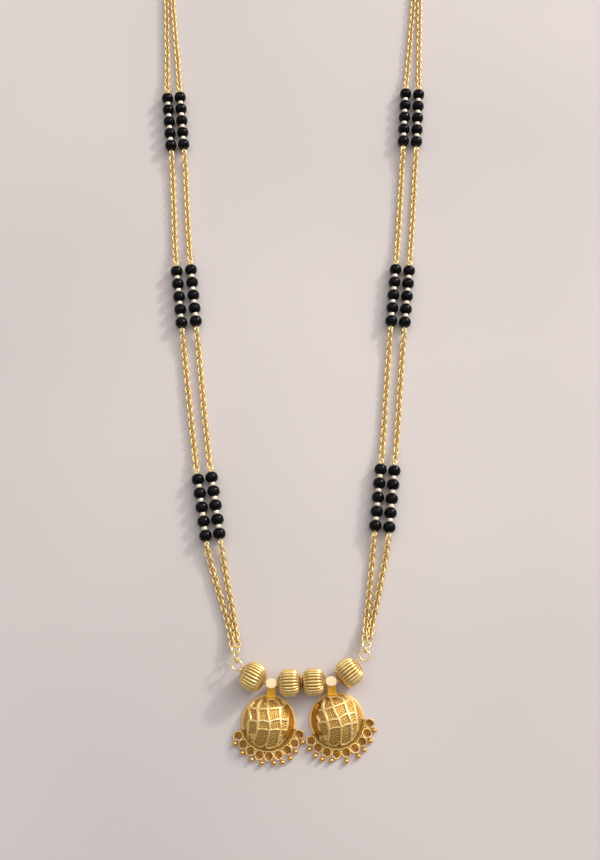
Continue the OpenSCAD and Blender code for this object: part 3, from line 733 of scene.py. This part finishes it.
def fluted_form(d, l, corded_too):
    """Bead along X. The tone is 1 on a lobe's back and 0 in a groove, where the gold is painted
    darker as shade; it falls too near the ends, in the cord's cuts and in the hole, as painted
    shade.
    """
    cols, rows = FLUTES * LOBE_STEPS, MELON_ROWS
    t = np.linspace(-1, 1, rows)[:, None]
    a = circle(cols)[None, :]
    swell = (1 - np.abs(SWELL_TO * t) ** SWELL_POWER) ** 0.5
    across = (a * FLUTES / (2 * math.pi)) % 1 * 2 - 1
    lobe = 1 - np.sqrt(np.clip(1 - (across * LOBE_TO) ** 2, 0, 1))
    fade = smooth_step((1 - np.abs(t)) / 0.12) * 0.5 + 0.5
    r = swell * d / 2 - GROOVE * lobe * fade * swell
    tone = (1 - smooth_step((np.abs(across) - 0.5) / 0.42)) + 0 * t
    # Painted shade: the tone falls towards both ends, where the bead meets its neighbours
    tone = tone * (1 - 0.8 * smooth_step((np.abs(t) - 0.74) / 0.24))
    if corded_too:
        corded = np.floor(a * FLUTES / (2 * math.pi)) % 2 == 0
        cuts = np.abs(np.sin(t * l / 2 * math.pi / CORD_PITCH + across * CORD_SLANT))
        r = r - corded * CORD_CUT * (1 - cuts) ** 2 * (1 - np.abs(across)) * fade
        # Painted shade in the cuts
        tone = tone * (1 - 0.12 * corded * (1 - cuts))
    rings = [np.stack([t * l / 2 + 0 * a, r * np.cos(a), r * np.sin(a)], axis=-1)]
    for at, wide in MELON_HOLE:
        wide = wide + (HOLE_PETAL_H * np.cos(a * HOLE_PETALS) if abs(at) == 1.0 else 0)
        rings.append(np.stack([0 * a + at * l / 2, wide * np.cos(a), wide * np.sin(a)], axis=-1))
    verts = np.concatenate(rings)
    tones = np.concatenate([tone.ravel(), np.full((len(verts) - rows) * cols, HOLE_SHADE_TONE)])
    return verts.reshape(-1, 3), grid_faces(len(verts), cols, True, True)[:, ::-1], tones


# Middle, turn in plan and spin on the wire of each, from left to right
END_MELON_AT = END_MELON_GAP + END_MELON_L / 2
MELONS = [
    (past_bend(LEFT_END, END_MELON_AT), end_turn(LEFT_END), 20),
    (on_wire(-(MELON_L + GAP) / 2), WIRE_TURN, 3),
    (on_wire((MELON_L + GAP) / 2), WIRE_TURN, 8),
    (past_bend(RIGHT_END, END_MELON_AT), end_turn(RIGHT_END), 12),
]
for i, (mid, turn, spin) in enumerate(MELONS):
    at_end = i in (0, len(MELONS) - 1)
    size = (END_MELON_D, END_MELON_L) if at_end else (MELON_D, MELON_L)
    shape = Shape()
    shape.add(*fluted_form(*size, at_end), about(2, turn) @ about(0, spin), flat(mid, WIRE_Z))
    node = "fluted_bead_%d" % (i + 1)
    shape.make(node + "_ridged", MELON_GOLD, "gold_fluted", [node])


# Cup pendants. Lines of the raised lattice, in mm from the cup's middle with y towards the
# neck, each with its half width

LATTICE = [
    (0.30, [(-0.1, 5.4), (-0.1, 3.0), (0.05, 1.7), (0.35, 0.1), (0.45, -1.7), (0.1, -3.1),
            (-0.25, -4.3), (-0.7, -5.7)]),
    (0.34, [(-1.5, 5.3), (-2.3, 4.2), (-2.5, 3.0), (-2.35, 1.7), (-2.35, 0.3), (-2.5, -1.6),
            (-2.9, -3.1), (-3.6, -4.6)]),
    (0.28, [(-3.4, 4.9), (-4.5, 3.5), (-4.4, 2.1), (-4.2, 0.8), (-4.7, -0.1), (-4.8, -1.7),
            (-4.9, -2.9), (-4.7, -4.0), (-4.0, -4.6)]),
    (0.32, [(1.3, 5.4), (2.5, 4.4), (2.8, 3.2), (2.8, 1.7), (2.9, 0.5), (2.95, -1.7),
            (2.6, -3.1), (2.3, -4.4), (1.8, -5.5)]),
    (0.28, [(3.3, 5.0), (4.5, 3.7), (4.8, 2.1), (4.7, 0.3), (4.5, -0.8), (4.3, -2.2),
            (3.9, -3.9)]),
    (0.30, [(-4.9, 3.3), (-4.4, 3.5), (-2.6, 3.0), (-1.2, 3.0), (0.5, 3.0), (2.3, 3.2),
            (3.1, 3.3), (4.6, 3.8)]),
    (0.27, [(-4.5, 0.35), (-3.4, 0.35), (-2.4, 0.1), (-1.2, 0.35), (0.36, 0.05),
            (1.4, 0.46), (2.9, 0.6), (4.8, 0.3)]),
    (0.20, [(-2.5, -1.7), (-1.2, -1.55), (0.36, -1.85), (1.7, -1.7), (3.0, -1.8),
            (4.4, -1.9)]),
    (0.18, [(-4.8, -2.9), (-4.0, -2.8), (-3.0, -2.95)]),
    (0.17, [(-3.6, -4.6), (-2.6, -5.5), (-1.3, -5.5), (-0.4, -4.6)]),
    (0.17, [(-0.7, -5.7), (0.4, -5.9), (1.8, -5.5), (2.5, -5.2), (3.5, -4.3)]),
    (0.16, [(2.4, -4.4), (2.9, -3.0), (3.5, -4.2)]),
]
# Places inside the cells that stay plain and bright, each with its radius
PLAIN_CELLS = [(-3.9, -3.5, 0.62), (2.95, -4.1, 0.5), (-0.75, 4.4, 0.35)]
# Heights and depths of the skin's relief, and where the lattice fades out towards the rim
RIB_MORE, GROUND_DEEP, CURL_H, CURL_TONE = 0.05, 0.16, 0.1, 0.42
LATTICE_END, LATTICE_FADE, RIB_EDGE = 6.15, 0.25, 0.13
# A line's edge lies at this share of its half width, and this much further out
LINE_SHARE, LINE_MORE = 0.82, 0.07
SKIN_STEPS, CURL_WAVE, RIPPLES = 262, 0.52, 46


def line_distance(x, y, points):
    """Distance of each place from a smooth line through points"""
    fine = through(points, 6)
    best = np.full(x.shape, np.inf)
    for p, q in zip(fine[:-1], fine[1:]):
        d = q - p
        t = np.clip(((x - p[0]) * d[0] + (y - p[1]) * d[1]) / (d @ d), 0, 1)
        best = np.minimum(best, np.hypot(x - p[0] - t * d[0], y - p[1] - t * d[1]))
    return best


def vermicelli(x, y):
    """Curled lines, from many ripples of nearly one length in random directions"""
    local = np.random.default_rng(11)
    field = np.zeros(x.shape)
    for _ in range(RIPPLES):
        a = local.uniform(0, 2 * math.pi)
        k = 2 * math.pi / (CURL_WAVE * local.uniform(0.85, 1.15))
        field += np.cos(k * (x * math.cos(a) + y * math.sin(a)) + local.uniform(0, 2 * math.pi))
    return smooth_step(0.5 + field / np.std(field) * 0.45)


def dome_skin():
    """Outer skin of the cup with its lattice, from a square grid pressed into a disc"""
    s = np.linspace(-1, 1, SKIN_STEPS)
    a, b = np.meshgrid(s, s, indexing="ij")
    u = a * np.sqrt(1 - b * b / 2)
    v = b * np.sqrt(1 - a * a / 2)
    rho = np.hypot(u, v)
    # Even steps along the dome's slope
    edge = math.asin(math.sqrt(SKIN_R ** 2 - DOME_Z ** 2) / SKIN_R)
    slope = rho * edge
    scale = np.where(rho > 1e-9, np.sin(slope) / np.maximum(rho, 1e-9), edge)
    x, y = SKIN_R * u * scale, SKIN_R * v * scale
    lift = np.zeros(u.shape)
    # The lines are finer towards the fringe
    taper = 0.72 + 0.3 * smooth_step((y + 3.2) / 2.6)
    for half, points in LATTICE:
        edge_at = LINE_SHARE * half * taper + LINE_MORE
        lift = np.maximum(lift, smooth_step((edge_at - line_distance(x, y, points)) / RIB_EDGE))
    plain = np.zeros(u.shape)
    for px, py, pr in PLAIN_CELLS:
        plain = np.maximum(plain, smooth_step((pr - np.hypot(x - px, y - py)) / 0.2))
    fade = smooth_step((LATTICE_END - np.hypot(x, y)) / LATTICE_FADE)
    curls = vermicelli(x, y)
    low = (1 - lift) * fade * (1 - plain)
    r = SKIN_R + (RIB_H + RIB_MORE) * lift * fade + (CURL_H * curls - GROUND_DEEP) * low
    # The curls' tops get a lighter tone than their low parts, which the cup's gold turns into
    # painted shade in the recesses
    tone = np.maximum.reduce([lift, plain * 0.8, 1 - fade, CURL_TONE * curls])
    z = DOME_Z + r * np.cos(slope)
    k = r / SKIN_R
    verts = np.stack([x * k, y * k, z], axis=-1).reshape(-1, 3)
    return verts, grid_faces(SKIN_STEPS, SKIN_STEPS)[:, ::-1], tone.ravel()


def dome_inside(rows=18, cols=72):
    """Hollow of the cup and the ledge from it out to the skin"""
    edge = math.acos(-DOME_Z / HOLLOW_R)
    b = np.linspace(0.01, edge, rows)[:, None]
    a = circle(cols)[None, :]
    inner = np.stack([HOLLOW_R * np.sin(b) * np.cos(a), HOLLOW_R * np.sin(b) * np.sin(a),
                      DOME_Z + HOLLOW_R * np.cos(b) + 0 * a], axis=-1)
    out = math.sqrt(SKIN_R ** 2 - DOME_Z ** 2)
    rim = np.stack([out * np.cos(a[0]), out * np.sin(a[0]), 0 * a[0]], axis=-1)
    verts = np.concatenate([inner.reshape(-1, 3), rim])
    return verts, grid_faces(rows + 1, cols, False, True)[:, ::-1]


DOME = dome_skin()
DOME_INSIDE = dome_inside()


def bail_form(cols=96, rows=25):
    """Polished barrel with a flat on top and its hole along X"""
    half, rise = BAIL_L / 2, (BAIL_D - BAIL_END_D) / 2
    arc = (half ** 2 + rise ** 2) / (2 * rise)
    x = np.linspace(-half, half, rows)
    r = BAIL_D / 2 - arc + np.sqrt(arc ** 2 - x ** 2)
    hole, bevel = BAIL_BORE / 2, 0.06
    rings = list(zip(x, r)) + [(half, hole + bevel), (half - bevel, hole),
                               (-half + bevel, hole), (-half, hole + bevel)]
    verts = np.array([[p, w * math.cos(t), w * math.sin(t)]
                      for p, w in rings for t in circle(cols)])
    high = verts[:, 2] > BAIL_FLAT
    verts[high, 2] = BAIL_FLAT + 0.02 * (verts[high, 2] - BAIL_FLAT)
    return verts, grid_faces(len(rings), cols, True, True)[:, ::-1]


def neck_form():
    """Strip with raised edges from the bail down to the cup, with a soft collar near its foot"""
    top = np.array([-1.0, WIRE_Z + 0.15])
    foot = np.array([-REACH + 0.8 * CUP_R, DOME_Z + 0.68 * DOME_R])
    half, t, edge, dip = 1.04, 1.1, 0.36, 0.2
    section = [(-half, -t), (-half, -0.12), (-half + 0.08, -0.02), (-half + 0.2, 0.0),
               (-half + edge, -0.04), (-half + edge + 0.1, -dip), (0, -dip - 0.02),
               (half - edge - 0.1, -dip), (half - edge, -0.04), (half - 0.2, 0.0),
               (half - 0.08, -0.02), (half, -0.12), (half, -t)]
    shape = Shape()
    rows, verts = 16, []
    for i in range(rows):
        s = i / (rows - 1)
        p = top + (foot - top) * s
        flare = 1 + 0.12 * smooth_step((s - 0.75) / 0.25)
        verts += [[w * flare, p[0], p[1] + h] for w, h in section]
    shape.add(verts, grid_faces(rows, len(section)), NECK_TONE)
    mid = foot + 0.3 * (top - foot)
    collar = np.array([[w, mid[0] - 0.12 * (1 - w ** 2), mid[1] - 0.2]
                       for w in np.linspace(-0.9, 0.9, 12)])
    shape.add(*wire_along(collar, 0.33, 14), NECK_TONE)
    lower = (collar - [0, 0.55, 0.42]) * [1.1, 1, 1]
    shape.add(*wire_along(lower, 0.3, 12), RIB_TONE)
    return shape


LOOPS, LOOP_SUNK, LOOP_GAP = 9, 0.15, 0.04
LOOP_R = (LOOP_OUT - LOOP_WIRE) / 2
LOOPS_AT = CUP_R + STRIP_W - LOOP_SUNK + LOOP_OUT / 2
LOOP_STEP = 2 * math.degrees(math.asin((LOOP_OUT + LOOP_GAP) / (2 * LOOPS_AT)))
FRINGE_Z = BALL_D / 2
# The shown loops are this much wider, finer, longer and nearer the cup than the solid ones,
# tilted one way and the other, so that they cross, and lifted a little
LOOP_WIDER, LOOP_FINER, LOOP_LONGER, LOOP_NEARER, LOOP_TILT = 0.16, 0.03, 1.04, 0.992, 13
LOOP_LIFT = 0.05


def loop_place(i, turn):
    """Middle of a loop from the cup's middle, with loop 0 at the viewer's right"""
    a = math.radians((LOOPS // 2 - i) * LOOP_STEP - turn)
    return LOOPS_AT * np.array([-math.sin(a), -math.cos(a)])


def fringe_form():
    """Strip with its wire loops round the foot of the cup"""
    shape = Shape()
    half = math.radians(LOOPS // 2 * LOOP_STEP + 7)
    a = np.linspace(-half, half, 100) - math.pi / 2
    section = [(CUP_R - 0.5, -1), (CUP_R - 0.5, 1), (CUP_R + 0.1, 1), (CUP_R + 0.17, 0.5),
               (CUP_R + 0.25, 0.5), (CUP_R + 0.32, 1), (CUP_R + STRIP_W, 0.9),
               (CUP_R + STRIP_W, -1)]
    verts = [[r * math.cos(t), r * math.sin(t), FRINGE_Z + h * STRIP_T / 2]
             for t in a for r, h in section]
    # Painted shade: the strip's inner part, where it meets the dome, is toned dark
    tones = [RECESS_SHADE_TONE] * 4 + [0, 0.9, RIB_TONE, 0.2]
    shape.add(verts, tube_faces(len(a), len(section)), np.tile(tones, len(a)))
    loop = wire_ring(LOOP_OUT + LOOP_WIDER, LOOP_WIRE - LOOP_FINER, 44, 12, LOOP_LONGER)
    for i in range(LOOPS):
        place = loop_place(i, 0)
        angle = math.degrees(math.atan2(place[1], place[0])) + 90
        tilt = about(1, LOOP_TILT if i % 2 else -LOOP_TILT)
        shape.add(*loop, LOOP_TONE, about(2, angle) @ tilt,
                  flat(place * LOOP_NEARER, FRINGE_Z + LOOP_LIFT))
    return shape


# Two turns, each with its width as a share of the space in the loop, its drop and its wire's
# radius, and the angles between which they run
COILS = ((1.02, 0, 0.27), (0.46, 0.05, 0.24))
COIL_FROM, COIL_TO, COIL_IN, COIL_DROP = 140, 398, 0.21, 0.3


def inner_turns():
    """The loop's wire coiled on inwards, lower down, and open towards the ball"""
    t = np.radians(np.linspace(COIL_FROM, COIL_TO, 26))
    whole = Shape()
    for share, drop, wire in COILS:
        r = (LOOP_R - COIL_IN) * share
        path = np.stack([r * np.cos(t), 1.05 * r * np.sin(t), 0 * t - drop], axis=1)
        # Painted shade: the turns are toned a dark orange, standing in for the shade inside the
        # loops
        whole.add(*wire_along(path, wire, 10), COIL_SHADE_TONE)
    return whole


FRINGE = fringe_form()
INNER_TURNS = inner_turns()
BAIL = bail_form()
NECK = neck_form()
# Each cup's side, its lean from the bail, the turns of its neck and its dome, and the way of
# each ball from its loop
CUPS = {
    "left": (-1, -4.3, 0, 1, [20, 5, -10, -20, -40, -30, -22, -8, -24]),
    "right": (1, 8.5, 3, 16, [12, 20, 36, 40, -2, -25, -12, -22, -36]),
}
# The rim's wire is this much wider and thicker than the solid one, and lies this much higher
RIM_WIDER, RIM_THICKER, RIM_LIFT = 0.16, 0.06, 0.08
EYE_OUT, BALL_SUNK = 0.06, 0.15
# The flank painted a deep orange, as shade and reflection, begins this far out, and this share of
# the way over to its side
FLANK_OUT, FLANK_ACROSS = 4.75, 0.66


def painted_flank_shade(verts, side, cup_turn):
    """1 on the flank that faces the other cup, painted a deep orange as shade and reflection, 0
    elsewhere
    """
    facing = turned(-cup_turn, (-side, 0))
    out = np.hypot(verts[:, 0], verts[:, 1])
    across = verts[:, :2] @ facing / np.maximum(out, 0.1)
    return smooth_step((out - FLANK_OUT) / 0.5) * smooth_step((across - FLANK_ACROSS) / 0.2)


def dome_and_rim(shape, place, side, cup_turn):
    """Dome with its hollow, its rim and its fringe"""
    spin = about(2, cup_turn)
    verts, faces, tone = DOME
    shade = painted_flank_shade(verts, side, cup_turn)
    # Painted shade and reflection: the flank towards the other cup gets tone -1
    shape.add(verts, faces, tone * (1 - shade) - shade, spin, flat(place, 0))
    shape.add(*DOME_INSIDE, INSIDE_TONE, spin, flat(place, 0))
    verts, faces = wire_ring(CUP_D + RIM_WIDER, RIM_WIRE + RIM_THICKER, 120, 14)
    # Painted light and shade: the rim is toned bright on the side towards the other cup and darker
    # on its outer side
    bright = smooth_step(0.6 - 0.9 * side * verts[:, 0] / CUP_R)
    shape.add(verts, faces, 0.5 + 0.5 * bright, spin, flat(place, RIM_WIRE / 2 + RIM_LIFT))
    shape.join(FRINGE, spin, flat(place, 0))


def ball_on_eye(shape, mid, turn):
    """Ball with its eye, hung from the loop at mid"""
    eye = wire_ring(BALL_EYE_D, BALL_EYE_WIRE, 28, 10)
    eye_r = (BALL_EYE_D - BALL_EYE_WIRE) / 2
    reach = LOOP_R + EYE_OUT
    shape.add(*eye, 0, turn @ about(1, 90), mid + turn @ np.array([0, reach, 0]))
    reach += eye_r + BALL_D / 2 - BALL_SUNK
    shape.add(*ball(BALL_D, 28, 18), 0, turn, mid + turn @ np.array([0, reach, 0]))


for name, (side, lean, neck_turn, cup_turn, ball_turns) in CUPS.items():
    bail_at = on_wire(side * BAIL_AT)
    place = bail_at + turned(lean, (0, -REACH))
    loops = [(flat(place + loop_place(i, cup_turn), FRINGE_Z), about(2, 180 - way))
             for i, way in enumerate(ball_turns)]
    shape = Shape()
    dome_and_rim(shape, place, side, cup_turn)
    neck = about(2, neck_turn)
    shape.join(NECK, neck, flat(bail_at, 0))
    shape.add(*BAIL, BAIL_TONE, neck, flat(bail_at, WIRE_Z))
    for mid, turn in loops:
        shape.join(INNER_TURNS, turn, mid - COIL_DROP * UP)
    node = "vati_" + name
    shape.make(node + "_cup", CUP_GOLD, "gold_cup", [node])
    shape = Shape()
    for mid, turn in loops:
        ball_on_eye(shape, mid, turn)
    node = "drops_" + name
    shape.make(node + "_balls", FRINGE_GOLD, "gold_fringe", [node])


# Nodes that keep their CAD shape get the wire's finish
WIRES = ("centre_wire", "joining_ring", "gather_ring", "string_wires", "end_ring", "clasp")
for name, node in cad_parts.items():
    if name.startswith(WIRES):
        node.data.materials.clear()
        node.data.materials.append(WIRE_GOLD)
        node.data.polygons.foreach_set("use_smooth", [True] * len(node.data.polygons))


# Floor and light

FLOOR_HALF, FLOOR_STEPS = 900, 41
ROOM_COLOR = (0.91, 0.885, 0.92, 1)
# Brightness of the room: ROOM_NEAR up to ROOM_FROM along Y, and ROOM_FAR from ROOM_TO on
ROOM_FROM, ROOM_TO, ROOM_NEAR, ROOM_FAR = -0.9, 0.5, 0.26, 0.5
# Name, place, aim, size, brightness and colour of each light, in metres
LIGHTS = [
    ("top", (0.05, 0.2, 0.87), (0, -0.06, 0), (1.4, 0.9), 0.88, (1.0, 0.975, 0.955)),
    ("key", (0.78, 0.58, 0.66), (0, -0.05, 0), (0.72, 0.72), 4.3, (1.0, 0.965, 0.92)),
    ("glint", (0.93, 0.75, 0.60), (0, -0.05, 0), (0.14, 0.14), 130, (1.0, 0.98, 0.95)),
]


def floor():
    """Cloth that the necklace lies on"""
    s = np.linspace(-1, 1, FLOOR_STEPS) * FLOOR_HALF
    x, y = np.meshgrid(s, s, indexing="ij")
    mesh = bpy.data.meshes.new("floor")
    verts = np.stack([x, y, 0 * x], axis=-1).reshape(-1, 3) * MM
    mesh.from_pydata(verts.tolist(), [], grid_faces(FLOOR_STEPS, FLOOR_STEPS)[:, ::-1].tolist())
    mesh.materials.append(cloth("cloth"))
    obj = bpy.data.objects.new("floor", mesh)
    bpy.context.scene.collection.objects.link(obj)


def area_light(name, at, aim, size, radiance, color):
    """Rectangular soft light with a side along X; its power follows from its brightness"""
    data = bpy.data.lights.new(name, "AREA")
    data.shape = "RECTANGLE"
    data.size, data.size_y = size
    data.energy = radiance * math.pi * size[0] * size[1]
    data.color = color
    obj = bpy.data.objects.new(name, data)
    obj.location = at
    way = np.asarray(aim, float) - np.asarray(at, float)
    turn = math.atan2(way[0], -way[1])
    tip = math.atan2(math.hypot(way[0], way[1]), -way[2])
    obj.rotation_euler = (tip, 0, turn + math.pi)
    bpy.context.scene.collection.objects.link(obj)


def room():
    """Pale room, darker on the viewer's side"""
    world = bpy.data.worlds.new("world")
    world.use_nodes = True
    tree = world.node_tree
    coords = tree.nodes.new("ShaderNodeTexCoord")
    parts = tree.nodes.new("ShaderNodeSeparateXYZ")
    link(tree, coords, "Generated", parts, 0)
    span = tree.nodes.new("ShaderNodeMapRange")
    for socket, value in (("From Min", ROOM_FROM), ("From Max", ROOM_TO),
                          ("To Min", ROOM_NEAR), ("To Max", ROOM_FAR)):
        span.inputs[socket].default_value = value
    link(tree, parts, "Y", span, "Value")
    link(tree, span, 0, tree.nodes["Background"], "Strength")
    tree.nodes["Background"].inputs["Color"].default_value = ROOM_COLOR
    bpy.context.scene.world = world


floor()
room()
for light in LIGHTS:
    area_light(*light)
